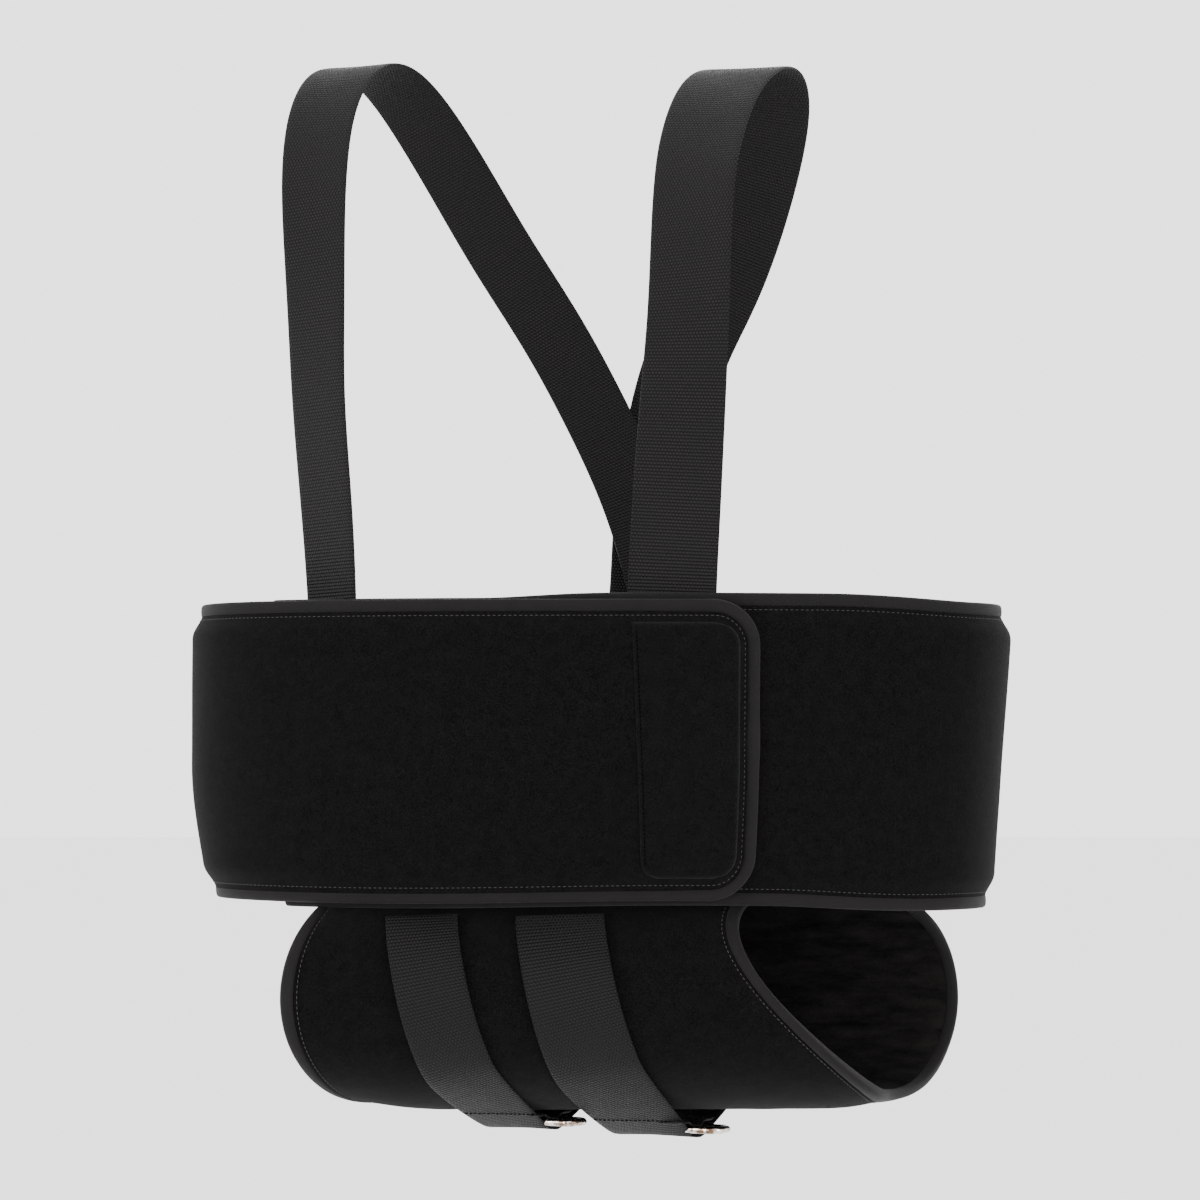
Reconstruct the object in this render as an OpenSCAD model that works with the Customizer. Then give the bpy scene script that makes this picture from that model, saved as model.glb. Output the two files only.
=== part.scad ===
// Arm sling: a lapped waist belt, two shoulder straps that cross at the back,
// and a forearm sleeve hung on rings.
// Origin at the centre of the belt's loop, at half its height. +X is to the wearer's left,
// +Y to the wearer's back, +Z up, millimetres.

/* [Belt] */
// Outside width of the belt's loop
loop_w = 449; // [420:1:480]
// Depth of the loop in front of the origin
front_d = 107; // [100:1:115]
// Depth of the loop behind the origin
back_d = 130; // [125:1:135]
// Height of the belt
belt_h = 160; // [150:1:165]
// Thickness of the velour-faced foam
belt_t = 5; // [4:0.5:5.5]
// Roundness of the loop, 2 being an ellipse
roundness = 2.4; // [2.2:0.1:2.8]

/* [Binding] */
// Width of the binding tape over an edge
bind_w = 8; // [6:0.5:9]
// Thickness of a bound edge
bind_t = 7; // [6:0.5:7]

/* [Straps] */
// Webbing width of the left strap
left_w = 38; // [36:1:40]
// Webbing width of the right strap
right_w = 47; // [44:1:49]
// Webbing thickness
web_t = 2; // [1.5:0.1:2]
// Thickness of a hook patch
hook_t = 1.2; // [1:0.1:1.3]

/* [Sleeve] */
// Outside radius of the forearm sleeve
sleeve_r = 62.5; // [60:0.5:63]
// Thickness of the shell
shell_t = 3; // [2.5:0.1:3]
// Thickness of the lining
lining_t = 2; // [1.5:0.1:2]

/* [Rings] */
// Wire diameter of the rings
wire_d = 4; // [3.5:0.1:4]
// Distance between the front and rear bars, centre to centre
bar_gap = 15; // [14:0.5:16]
// Room beside the webbing inside a ring
ring_room = 15; // [13:1:16]

/* [Hidden] */
$fn = 48;

velour = [0.07, 0.07, 0.075];
tape = [0.11, 0.1, 0.11];
web = [0.1, 0.1, 0.105];
hook = [0.04, 0.04, 0.04];
plush = [0.09, 0.09, 0.09];
nickel = [0.78, 0.77, 0.74];

// The loop's angle at the flap's hinge, the flap's end and the two ends of the belt panel
hinge_a = 205;
flap_end_a = 288.4;
band_end_a = 562.35;
lap_end_a = 217;
// How far the inner lap lies inside the loop, and the angles over which it comes out to it
lap_in = bind_t + 0.5;
lap_from_a = 300;
lap_to_a = 335;

// The sleeve's axis, and the rings' centres and turn under it
sleeve_y = -35;
sleeve_z = -130;
left_ring = [-36.3, -36.2, -198.2];
right_ring = [36.7, -36.2, -202];
ring_turn = -32;
// The webbing lies this far along its bar from the ring's middle
web_shift = -6;

// ---- Curves ----
function pw(v, e) = sign(v) * pow(abs(v), e);
function ease(u) = let (c = min(1, max(0, u))) c * c * (3 - 2 * c);

// A point of the loop at angle a, o outside the middle of the belt's thickness
function loop_pt(a, o = 0) = [
    (loop_w / 2 - belt_t / 2 + o) * pw(cos(a), 2 / roundness),
    ((sin(a) < 0 ? front_d : back_d) - belt_t / 2 + o) * pw(sin(a), 2 / roundness)];

// The inner lap's offset at angle a of the belt panel
function lap_offset(a) = -lap_in * (1 - ease((a - lap_from_a) / (lap_to_a - lap_from_a)));

function wall_outline(a0, a1, o0, o1, steps, lapped) = concat(
    [for (i = [0:steps]) let (a = a0 + (a1 - a0) * i / steps)
        loop_pt(a, o1 + (lapped ? lap_offset(a) : 0))],
    [for (i = [steps:-1:0]) let (a = a0 + (a1 - a0) * i / steps)
        loop_pt(a, o0 + (lapped ? lap_offset(a) : 0))]);

// A smooth curve through the points p, k steps between each two
function knot(p, i) = p[min(len(p) - 1, max(0, i))];
function through(p, k) = concat(
    [for (i = [0:len(p) - 2], j = [0:k - 1])
        let (u = j / k, a = knot(p, i - 1), b = p[i], c = p[i + 1], d = knot(p, i + 2))
            b + u / 2 * ((c - a) + u * ((2 * a - 5 * b + 4 * c - d) + u * (3 * b - a - 3 * c + d)))],
    [p[len(p) - 1]]);

function unit(v) = v / norm(v);

// ---- General solids ----
// A closed solid between two grids of points of the same size
module slab(top, bottom) {
    n = len(top);
    m = len(top[0]);
    function id(i, j, s) = (i * m + j) * 2 + s;
    pts = [for (i = [0:n - 1], j = [0:m - 1], s = [0, 1]) s == 0 ? top[i][j] : bottom[i][j]];
    faces = concat(
        [for (i = [0:n - 2], j = [0:m - 2])
            each [[id(i, j, 0), id(i, j + 1, 0), id(i + 1, j, 0)],
                [id(i + 1, j, 0), id(i, j + 1, 0), id(i + 1, j + 1, 0)],
                [id(i, j, 1), id(i + 1, j, 1), id(i, j + 1, 1)],
                [id(i + 1, j, 1), id(i + 1, j + 1, 1), id(i, j + 1, 1)]]],
        [for (i = [0:n - 2])
            each [[id(i, 0, 0), id(i + 1, 0, 0), id(i, 0, 1)],
                [id(i + 1, 0, 0), id(i + 1, 0, 1), id(i, 0, 1)],
                [id(i, m - 1, 0), id(i, m - 1, 1), id(i + 1, m - 1, 0)],
                [id(i + 1, m - 1, 0), id(i, m - 1, 1), id(i + 1, m - 1, 1)]]],
        [for (j = [0:m - 2])
            each [[id(0, j, 0), id(0, j, 1), id(0, j + 1, 0)],
                [id(0, j + 1, 0), id(0, j, 1), id(0, j + 1, 1)],
                [id(n - 1, j, 0), id(n - 1, j + 1, 0), id(n - 1, j, 1)],
                [id(n - 1, j + 1, 0), id(n - 1, j + 1, 1), id(n - 1, j, 1)]]]);
    polyhedron(pts, faces);
}

// Webbing w wide and t thick whose middle follows path, facing as the directions in facing
module ribbon(path, facing, w, t) {
    last = len(path) - 1;
    along = [for (i = [0:last]) unit(path[min(last, i + 1)] - path[max(0, i - 1)])];
    across = [for (i = [0:last]) unit(cross(along[i], facing[i]))];
    out = [for (i = [0:last]) cross(across[i], along[i])];
    slab([for (i = [0:last]) [for (s = [-1, 1]) path[i] + s * w / 2 * across[i] + t / 2 * out[i]]],
        [for (i = [0:last]) [for (s = [-1, 1]) path[i] + s * w / 2 * across[i] - t / 2 * out[i]]]);
}

// A wall along the loop between angles a0 and a1, offsets o0 and o1, and heights z0 and z1
module belt_layer(a0, a1, o0, o1, steps, z0, z1, lapped = false)
    translate([0, 0, z0])
        linear_extrude(z1 - z0)
            polygon(wall_outline(a0, a1, o0, o1, steps, lapped));

module belt_wall(a0, a1, t, steps, z0, z1, lapped = false)
    belt_layer(a0, a1, -t / 2, t / 2, steps, z0, z1, lapped);

// ---- Belt ----
half_h = belt_h / 2;
edge_z = half_h - bind_w;
lap_binding_a = lap_end_a + 2.6;
end_binding_gap_a = 0.1;

module belt_panel()
    color(velour)
        belt_wall(lap_binding_a + end_binding_gap_a, band_end_a, belt_t, 84, -edge_z, edge_z, true);

module belt_top_binding()
    color(tape)
        belt_wall(lap_end_a, band_end_a, bind_t, 84, edge_z, half_h, true);

module belt_bottom_binding()
    color(tape)
        belt_wall(lap_end_a, band_end_a, bind_t, 84, -half_h, -edge_z, true);

module belt_end_binding()
    color(tape)
        belt_wall(lap_end_a, lap_binding_a, bind_t, 2, -edge_z, edge_z, true);

// ---- Flap ----
flap_corner_r = 25;
flap_end_x = loop_pt(flap_end_a)[0];
tab_from_a = 272;
tab_t = 1;
tab_gap = 0.05;
tab_room = 0.5;
// The hook patch's first angle, and how far it stays inside the binding
hook_from_a = 273;
hook_inset = 10;
hook_gap = 0.1;

// The flap's face in X and Z with its two round end corners, inset by e
module flap_face(e) {
    r = flap_corner_r - e;
    x1 = flap_end_x - e;
    z1 = half_h - e;
    difference() {
        translate([-loop_w, -z1])
            square([loop_w + x1, 2 * z1]);
        for (s = [-1, 1])
            translate([x1 - r, s * (z1 - r)])
                difference() {
                    translate([0, s > 0 ? 0 : -r - 1])
                        square(r + 1);
                    circle(r);
                }
    }
}

module flap_prism(e)
    rotate([90, 0, 0])
        linear_extrude(front_d + bind_t)
            flap_face(e);

module flap_panel()
    color(velour)
        intersection() {
            belt_wall(hinge_a, flap_end_a, belt_t, 30, -half_h, half_h);
            flap_prism(bind_w);
        }

module flap_binding()
    color(tape)
        difference() {
            intersection() {
                belt_wall(hinge_a, flap_end_a, bind_t, 30, -half_h, half_h);
                flap_prism(0);
            }
            flap_prism(bind_w);
        }

module flap_tab()
    color(velour)
        intersection() {
            belt_layer(tab_from_a, flap_end_a, belt_t / 2 + tab_gap, belt_t / 2 + tab_gap + tab_t, 24,
                -half_h, half_h);
            flap_prism(bind_w + tab_room);
        }

module flap_hook_patch()
    color(hook)
        intersection() {
            belt_layer(hook_from_a, flap_end_a, -belt_t / 2 - hook_gap - hook_t, -belt_t / 2 - hook_gap, 24,
                -half_h, half_h);
            flap_prism(bind_w + hook_inset);
        }

// ---- Shoulder straps ----
// Middle points from behind the belt's front, over the shoulder, to the rear end's hinge
left_path = [[-143.6, -64.6, 66], [-144.1, -64.6, 85], [-147, -65, 133], [-152, -65, 186],
    [-152.6, -64, 226], [-154.4, -60, 273], [-155.6, -50, 312], [-153.5, -32, 347], [-146, -10, 371],
    [-134, 14, 383], [-117, 42, 378], [-96, 63, 350], [-74, 80, 314], [-54, 93, 280],
    [-26, 107, 240], [-1, 118, 192], [13, 123, 163], [26, 128, 129], [34, 132, 96],
    [39, 132.6, 74], [46, 131.6, 50], [54, 131.2, 26]];
left_facing = [[-0.7, -0.71, 0], [-0.69, -0.72, 0], [-0.64, -0.77, 0], [-0.64, -0.77, 0],
    [-0.56, -0.83, 0], [-0.45, -0.89, 0], [-0.28, -0.95, 0.1], [-0.18, -0.86, 0.4],
    [-0.1, -0.55, 0.8], [0, 0, 1], [0, 0.5, 0.85], [0, 0.8, 0.6], [0, 0.92, 0.4],
    [0, 0.95, 0.3], [0, 0.98, 0.2], [0, 1, 0.2], [0, 1, 0.15], [0, 1, 0.1], [0, 1, 0.05],
    [0.03, 1, 0], [0.05, 1, 0], [0.08, 1, 0]];
right_path = [[37, -89, 66], [37, -89, 84], [39.5, -89, 126], [41.5, -89, 163], [44.7, -86, 210],
    [46.6, -82, 240], [48, -72, 284], [50.6, -60, 313], [54, -48, 332], [61, -30, 356],
    [71.5, -6, 374], [84.5, 14, 381], [94, 38, 375], [95, 56, 356], [87.5, 80, 322],
    [77, 95, 289], [65, 106, 260], [49.5, 115, 232], [38.5, 125, 193], [30, 133, 142],
    [29, 137.4, 92], [26, 137.2, 78], [20, 137, 64], [14, 136.6, 52]];
right_facing = [[0, -1, 0], [0, -1, 0], [-0.1, -1, 0], [-0.2, -0.98, 0], [-0.35, -0.93, 0],
    [-0.4, -0.91, 0], [-0.4, -0.9, 0.1], [-0.35, -0.9, 0.25], [-0.25, -0.85, 0.4],
    [-0.15, -0.7, 0.7], [-0.05, -0.4, 0.9], [0, 0, 1], [0.1, 0.5, 0.85], [0.2, 0.8, 0.55],
    [0.2, 0.9, 0.35], [0.15, 0.93, 0.3], [0.1, 0.95, 0.25], [0.05, 0.97, 0.2],
    [0, 1, 0.2], [0, 1, 0.1], [0, 1, 0.05], [0, 1, 0], [0, 1, -0.05], [0, 1, -0.08]];

module shoulder_strap_left()
    color(web)
        ribbon(through(left_path, 4), through(left_facing, 4), left_w, web_t);

module shoulder_strap_right()
    color(web)
        ribbon(through(right_path, 4), through(right_facing, 4), right_w, web_t);

// The rear ends, which peel off the belt, start end_gap below the straps' hinges
end_gap = 3;
left_end_path = [[55, 131.1, 26 - end_gap], [56.5, 131, 17], [59, 130.6, 8], [70, 129.6, -35]];
left_end_facing = [[0.08, 1, 0], [0.08, 1, 0], [0.09, 1, 0], [0.1, 1, 0]];
right_end_path = [[12.6, 136.5, 52 - end_gap], [7, 135.8, 36], [3, 134.6, 24], [0, 133.7, 12],
    [-8, 133.2, -24]];
right_end_facing = [[0, 1, -0.08], [0, 1, -0.08], [0, 1, -0.04], [0, 1, 0], [0, 1, 0]];

module strap_end_left()
    color(web)
        ribbon(through(left_end_path, 3), through(left_end_facing, 3), left_w, web_t);

module strap_end_right()
    color(web)
        ribbon(through(right_end_path, 3), through(right_end_facing, 3), right_w, web_t);

// A hook patch lies between the webbing and the velour
function under(p, d) = [for (q = p) q - [0, d, 0]];
patch_gap = 0.2;
patch_inset = 2;
patch_drop = web_t / 2 + hook_t / 2 + patch_gap;

module strap_end_hook_left()
    color(hook)
        ribbon(under([[61, 130.4, 0], [69, 129.7, -31]], patch_drop), [[0.1, 1, 0], [0.1, 1, 0]],
            left_w - 2 * patch_inset, hook_t);

module strap_end_hook_right()
    color(hook)
        ribbon(under([[-1, 133.4, 6], [-7, 133.1, -20]], patch_drop), [[0, 1, 0], [0, 1, 0]],
            right_w - 2 * patch_inset, hook_t);

// ---- Sleeve ----
// Rims along the sleeve at angle f, where 0 is the back, 90 the top and 180 the front
function hand_rim(f) = -169 + 41 * (1 + cos(f));
function dip(f, at, k) = pow(max(0, cos(f - at)), k);
function elbow_rim(f) = 144 + 55 * cos(f) - 25 * sin(f) + 3 * cos(2 * f) + 14 * sin(2 * f)
    - 5.6 * dip(f, 15, 6) - 9 * dip(f, 272, 10);

// The hand end narrows over its last stretch
hand_narrow = 5;
hand_narrow_l = 45;
function round_in(d) = hand_narrow * pow(1 - min(1, max(0, d / hand_narrow_l)), 2);

// A tube between radii r1 and r0 from the rim offset d0 at the hand end to d1 at the elbow end
module sleeve_tube(r1, r0, rims, steps) {
    around = 48;
    // Rings lie closer at the hand end, where the tube narrows
    ring_bias = 1.5;
    function x_at(f, u) = rims[0][0] + (rims[0][1] ? hand_rim(f) : elbow_rim(f))
        + u * (rims[1][0] - rims[0][0] + (rims[1][1] ? hand_rim(f) : elbow_rim(f))
            - (rims[0][1] ? hand_rim(f) : elbow_rim(f)));
    function pt(f, u, r) = let (x = x_at(f, u), q = r - round_in(x - hand_rim(f)))
        [x, sleeve_y + q * cos(f), sleeve_z + q * sin(f)];
    function id(i, j, s) = ((i % around) * (steps + 1) + j) * 2 + s;
    pts = [for (i = [0:around - 1], j = [0:steps], s = [0, 1])
        pt(i * 360 / around, pow(j / steps, ring_bias), s == 0 ? r1 : r0)];
    faces = [for (i = [0:around - 1]) each concat(
        [for (j = [0:steps - 1])
            each [[id(i, j, 0), id(i, j + 1, 0), id(i + 1, j, 0)],
                [id(i + 1, j, 0), id(i, j + 1, 0), id(i + 1, j + 1, 0)],
                [id(i, j, 1), id(i + 1, j, 1), id(i, j + 1, 1)],
                [id(i + 1, j, 1), id(i + 1, j + 1, 1), id(i, j + 1, 1)]]],
        [[id(i, 0, 0), id(i + 1, 0, 0), id(i, 0, 1)],
            [id(i + 1, 0, 0), id(i + 1, 0, 1), id(i, 0, 1)],
            [id(i, steps, 0), id(i, steps, 1), id(i + 1, steps, 0)],
            [id(i + 1, steps, 0), id(i, steps, 1), id(i + 1, steps, 1)]])];
    polyhedron(pts, faces);
}

// The shell and lining stop at the inner edge of each rim's tape
HAND = true;
ELBOW = false;
rim_in = bind_w + 0.3;
layer_gap = 0.15;
lining_r = sleeve_r - shell_t - layer_gap;
binding_over = 0.5;
binding_r1 = sleeve_r + binding_over;
binding_r0 = lining_r - lining_t - binding_over;

module sleeve_shell()
    color(velour)
        sleeve_tube(sleeve_r, sleeve_r - shell_t, [[rim_in, HAND], [-rim_in, ELBOW]], 9);

module sleeve_lining()
    color(plush)
        sleeve_tube(lining_r, lining_r - lining_t, [[rim_in, HAND], [-rim_in, ELBOW]], 9);

module elbow_binding()
    color(tape)
        sleeve_tube(binding_r1, binding_r0, [[-bind_w, ELBOW], [0, ELBOW]], 1);

module hand_binding()
    color(tape)
        sleeve_tube(binding_r1, binding_r0, [[0, HAND], [bind_w, HAND]], 2);

// ---- Rings ----
bar_gap_t = 0.7;
bar_room = wire_d / 2 + bar_gap_t + web_t / 2;
ring_dir = [cos(ring_turn), sin(ring_turn), 0];
ring_back = [-sin(ring_turn), cos(ring_turn), 0];
module ring(centre, w) {
    corner = wire_d;
    long = w + ring_room + wire_d - 2 * corner;
    short = bar_gap - 2 * corner;
    color(nickel)
        translate(centre)
            rotate(ring_turn) {
                for (s = [-1, 1]) {
                    translate([0, s * bar_gap / 2, 0])
                        rotate([0, 90, 0])
                            cylinder(h = long, d = wire_d, center = true);
                    translate([s * (long / 2 + corner), 0, 0])
                        rotate([90, 0, 0])
                            cylinder(h = short, d = wire_d, center = true);
                    for (q = [-1, 1])
                        translate([s * long / 2, q * short / 2, 0])
                            rotate(s > 0 ? (q > 0 ? 0 : 270) : (q > 0 ? 90 : 180))
                                rotate_extrude(angle = 90)
                                    translate([corner, 0])
                                        circle(d = wire_d);
                }
            }
}

module ring_left() ring(left_ring, left_w);
module ring_right() ring(right_ring, right_w);

// ---- Sleeve straps ----
// A point over the sleeve at radius r, psi down from level on its front
function on_sleeve(x, psi, r) = [x, sleeve_y - r * cos(psi), sleeve_z - r * sin(psi)];
function off_sleeve(psi) = [0, -cos(psi), -sin(psi)];
tail_top = -41;
// How far the tail's upper end stands off the sleeve, and the middle of its patch
tail_room = 1.6;
hook_room = 1.2;
tail_gap = 0.8;
tail_r = sleeve_r + tail_gap + web_t / 2;
// How far the tail slants forward as it goes down, and how that grows
tail_slant = 45;
tail_bend = 1.6;
// The tail's middle where it would reach the bottom, from the ring's middle
tail_shift = -13.7;
function tail_x(x, psi) = x + tail_shift
    - tail_slant * (1 - pow((psi - tail_top) / (90 - tail_top), tail_bend));
// The tail settles onto the sleeve from psi_down over the next psi_settle degrees
psi_down = -5;
psi_settle = 30;
function tail_lift(psi) = tail_room * (1 - ease((psi - psi_down) / psi_settle));

// A point round a ring's front (side -1) or rear (side 1) bar, turn degrees up from the back
function bar_out(turn) = sin(turn) * [0, 0, 1] + cos(turn) * ring_back;
function bar_pt(centre, side, turn) = centre + web_shift * ring_dir + side * bar_gap / 2 * ring_back
    + bar_room * bar_out(turn);

// The webbing passes under its bar, folds round it and runs back a little inside itself
fold_step = 50;
sewn_l = 11;
sewn_gap = web_t + 0.4;
function fold_turns(side) = [for (i = [0:3]) side < 0 ? 240 + fold_step * i : 300 - fold_step * i];
function fold_end(centre, side, l) =
    let (turn = side < 0 ? 240 : 300, out = bar_out(turn), away = side * bar_out(turn + 90))
    bar_pt(centre, side, turn) + l * away
        - (sewn_gap + (2 * bar_room - sewn_gap) * (1 - ease(l / sewn_l))) * out;
function fold_path(centre, side) = concat(
    [for (turn = fold_turns(side)) bar_pt(centre, side, turn)],
    [for (l = [1, 6, sewn_l]) fold_end(centre, side, l)]);
function fold_facing(side) = concat(
    [for (turn = fold_turns(side)) -bar_out(turn)],
    [for (l = [1, 6, sewn_l]) bar_out(side < 0 ? 240 : 300)]);

// Down the front of the sleeve to the ring's front bar
function tail_path(centre) = concat(
    [for (psi = [tail_top:11:50]) on_sleeve(tail_x(centre[0], psi), psi, tail_r + tail_lift(psi))],
    fold_path(centre, -1));
function tail_facing() = concat([for (psi = [tail_top:11:50]) off_sleeve(psi)], -1 * fold_facing(-1));

module sleeve_strap(centre, w)
    color(web)
        ribbon(through(tail_path(centre), 4), through(tail_facing(), 4), w, web_t);

module sleeve_strap_left() sleeve_strap(left_ring, left_w);
module sleeve_strap_right() sleeve_strap(right_ring, right_w);

module sleeve_strap_hook(x, w)
    color(hook)
        ribbon([for (psi = [tail_top + 6:6:-8])
                on_sleeve(tail_x(x, psi), psi, tail_r + hook_room - patch_drop)],
            [for (psi = [tail_top + 6:6:-8]) off_sleeve(psi)], w - 2 * patch_inset, hook_t);

module sleeve_strap_hook_left() sleeve_strap_hook(left_ring[0], left_w);
module sleeve_strap_hook_right() sleeve_strap_hook(right_ring[0], right_w);

// ---- Strap drops ----
// From behind the belt's front, down behind the sleeve, to the ring's rear bar
drop_gap = 0.9;
drop_r = tail_r + drop_gap;
// The drop bows sideways behind the sleeve, furthest at bow_f, and bow_fall less bow_span away
drop_bow = 25.3;
bow_f = -8;
bow_fall = 7;
bow_span = 42;
function behind_sleeve(x, f) = [x + drop_bow - bow_fall * pow((f - bow_f) / bow_span, 2),
    sleeve_y + drop_r * cos(f), sleeve_z + drop_r * sin(f)];
function drop_path(top, centre) = let (x = centre[0]) concat(
    [top, [top[0] + (x + 1.3 - top[0]) * 0.35, top[1] + 25, 8],
        [top[0] + (x + 13.3 - top[0]) * 0.72, top[1] * 0.2, -42]],
    [for (f = [43:-18:-47]) behind_sleeve(x, f)],
    fold_path(centre, 1));
function drop_facing(start) = concat(
    [start, [-0.1, -0.8, -0.3], [0, -0.8, -0.5]],
    [for (f = [43:-18:-47]) [0, -cos(f), -sin(f)]],
    fold_facing(1));

module strap_drop_left()
    color(web)
        ribbon(through(drop_path([-142.6, -64.6, 58], left_ring), 3),
            through(drop_facing([-0.6, -0.8, 0]), 3), left_w, web_t);

module strap_drop_right()
    color(web)
        ribbon(through(drop_path([37, -89, 58], right_ring), 3),
            through(drop_facing([0, -1, 0]), 3), right_w, web_t);

belt_panel();
belt_top_binding();
belt_bottom_binding();
belt_end_binding();
flap_panel();
flap_binding();
flap_tab();
flap_hook_patch();
shoulder_strap_left();
shoulder_strap_right();
strap_end_left();
strap_end_right();
strap_end_hook_left();
strap_end_hook_right();
strap_drop_left();
strap_drop_right();
sleeve_shell();
sleeve_lining();
elbow_binding();
hand_binding();
ring_left();
ring_right();
sleeve_strap_left();
sleeve_strap_right();
sleeve_strap_hook_left();
sleeve_strap_hook_right();
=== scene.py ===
"""The arm sling's looks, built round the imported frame. Metres, with the belt's loop round the origin."""
import math

import bpy
import numpy as np
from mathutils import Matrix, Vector, noise


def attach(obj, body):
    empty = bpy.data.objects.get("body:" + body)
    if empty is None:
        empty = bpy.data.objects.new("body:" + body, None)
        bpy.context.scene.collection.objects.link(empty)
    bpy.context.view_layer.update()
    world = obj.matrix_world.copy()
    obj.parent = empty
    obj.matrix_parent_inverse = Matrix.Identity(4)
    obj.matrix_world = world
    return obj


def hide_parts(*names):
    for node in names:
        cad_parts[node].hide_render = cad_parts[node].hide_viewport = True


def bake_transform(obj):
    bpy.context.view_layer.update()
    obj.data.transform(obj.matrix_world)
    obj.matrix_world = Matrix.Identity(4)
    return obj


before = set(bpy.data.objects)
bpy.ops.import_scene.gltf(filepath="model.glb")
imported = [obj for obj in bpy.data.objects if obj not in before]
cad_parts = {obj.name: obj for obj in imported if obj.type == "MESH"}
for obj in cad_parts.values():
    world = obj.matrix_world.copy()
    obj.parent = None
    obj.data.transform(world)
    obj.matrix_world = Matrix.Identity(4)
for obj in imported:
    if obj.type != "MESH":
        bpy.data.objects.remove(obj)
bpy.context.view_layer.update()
MM = 0.001

# ---- The design's dimensions, in millimetres ----
LOOP_W, FRONT_D, BACK_D, BELT_H = 449.0, 107.0, 130.0, 160.0
BELT_T, BIND_W, BIND_T, ROUND = 5.0, 8.0, 7.0, 2.4
LEFT_W, RIGHT_W, WEB_T, HOOK_T = 38.0, 47.0, 2.0, 1.2
SLEEVE_R, SHELL_T, LINING_T = 62.5, 3.0, 2.0
SLEEVE_Y, SLEEVE_Z = -35.0, -130.0
WIRE_D, BAR_GAP = 4.0, 15.0
LEFT_RING, RIGHT_RING = np.array([-36.3, -36.2, -198.2]), np.array([36.7, -36.2, -202.0])
RING_TURN, WEB_SHIFT = math.radians(-32), -6.0
# Loop angles of the flap's hinge and end, and of the inner lap's end and its way out to the loop
HINGE_A, FLAP_END_A, LAP_END_A = 205.0, 288.4, 217.0
LAP_IN = BIND_T + 0.5
LAP_FROM_A, LAP_TO_A = 300.0, 335.0
HALF_H = BELT_H / 2


# ---- Small helpers ----
def ease(u):
    c = np.clip(u, 0, 1)
    return c * c * (3 - 2 * c)


def unit(v):
    return v / np.maximum(np.linalg.norm(v, axis=-1, keepdims=True), 1e-12)


def power(v, e):
    return np.sign(v) * np.abs(v) ** e


def through(points, k):
    """A smooth curve through the points, k steps between each two."""
    p = np.array(points, float)
    pad = np.vstack([p[:1], p, p[-1:]])
    out = []
    for i in range(len(p) - 1):
        a, b, c, d = pad[i], pad[i + 1], pad[i + 2], pad[i + 3]
        for j in range(k):
            u = j / k
            bend = (2 * a - 5 * b + 4 * c - d) + u * (3 * b - a - 3 * c + d)
            out.append(b + u / 2 * ((c - a) + u * bend))
    return np.array(out + [p[-1]])


def relaxed(p, rounds):
    """The curve with its small wiggles smoothed out, ends kept."""
    p = p.copy()
    for _ in range(rounds):
        p[1:-1] = 0.25 * p[:-2] + 0.5 * p[1:-1] + 0.25 * p[2:]
    return p


def lumps(points, size, seed=0.0):
    """Smooth noise from -1 to 1 at each point, with lumps about size millimetres across."""
    shape = points.shape[:-1]
    flat = points.reshape(-1, 3) / size + seed
    return np.array([noise.noise(Vector(q)) for q in flat]).reshape(shape)


def mesh_piece(name, verts, faces, material, uv=None):
    """An object from points in millimetres, with its material and, where given, a map in millimetres."""
    data = bpy.data.meshes.new(name)
    data.from_pydata((np.asarray(verts).reshape(-1, 3) * MM).tolist(), [], faces)
    data.materials.append(material)
    data.polygons.foreach_set("use_smooth", [True] * len(data.polygons))
    if uv is not None:
        flat = np.asarray(uv).reshape(-1, 2)
        layer = data.uv_layers.new(name="cloth")
        index = np.empty(len(data.loops), int)
        data.loops.foreach_get("vertex_index", index)
        layer.data.foreach_set("uv", flat[index].reshape(-1))
    data.validate()
    piece = bpy.data.objects.new(name, data)
    bpy.context.scene.collection.objects.link(piece)
    return piece


def tube_faces(n, m, closed=False, base=0):
    """Faces between n rings of m points, with end caps unless the rings close on themselves."""
    faces = []
    for i in range(n if closed else n - 1):
        a, b = base + i * m, base + ((i + 1) % n) * m
        faces += [(a + j, a + (j + 1) % m, b + (j + 1) % m, b + j) for j in range(m)]
    if not closed:
        faces.append(tuple(base + j for j in reversed(range(m))))
        faces.append(tuple(base + (n - 1) * m + j for j in range(m)))
    return faces


def swept(name, rings, material, closed=False, uv=None):
    rings = np.asarray(rings)
    return mesh_piece(name, rings, tube_faces(rings.shape[0], rings.shape[1], closed), material, uv)


def ring_lengths(rings):
    """Distances along the sweep and round each ring, as a map for the weave."""
    mid = rings.mean(axis=1)
    along = np.concatenate([[0], np.cumsum(np.linalg.norm(np.diff(mid, axis=0), axis=1))])
    step = np.linalg.norm(np.diff(rings[len(rings) // 2], axis=0), axis=1)
    round_it = np.concatenate([[0], np.cumsum(step)])
    return np.stack(np.broadcast_arrays(round_it[None, :], along[:, None]), axis=-1)


# ---- Materials ----
def new_material(name, colour, rough):
    material = bpy.data.materials.new(name)
    material.use_nodes = True
    tree = material.node_tree
    shader = tree.nodes["Principled BSDF"]
    shader.inputs["Base Color"].default_value = (*colour, 1)
    shader.inputs["Roughness"].default_value = rough
    return material, tree, shader


def node(tree, kind, links=(), **values):
    """A node with its properties and inputs set, and links as (input, output socket) pairs."""
    made = tree.nodes.new(kind)
    for key, value in values.items():
        if hasattr(made, key):
            setattr(made, key, value)
        else:
            made.inputs[key.replace("_", " ")].default_value = value
    for slot, source in links:
        tree.links.new(source, made.inputs[slot])
    return made


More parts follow.
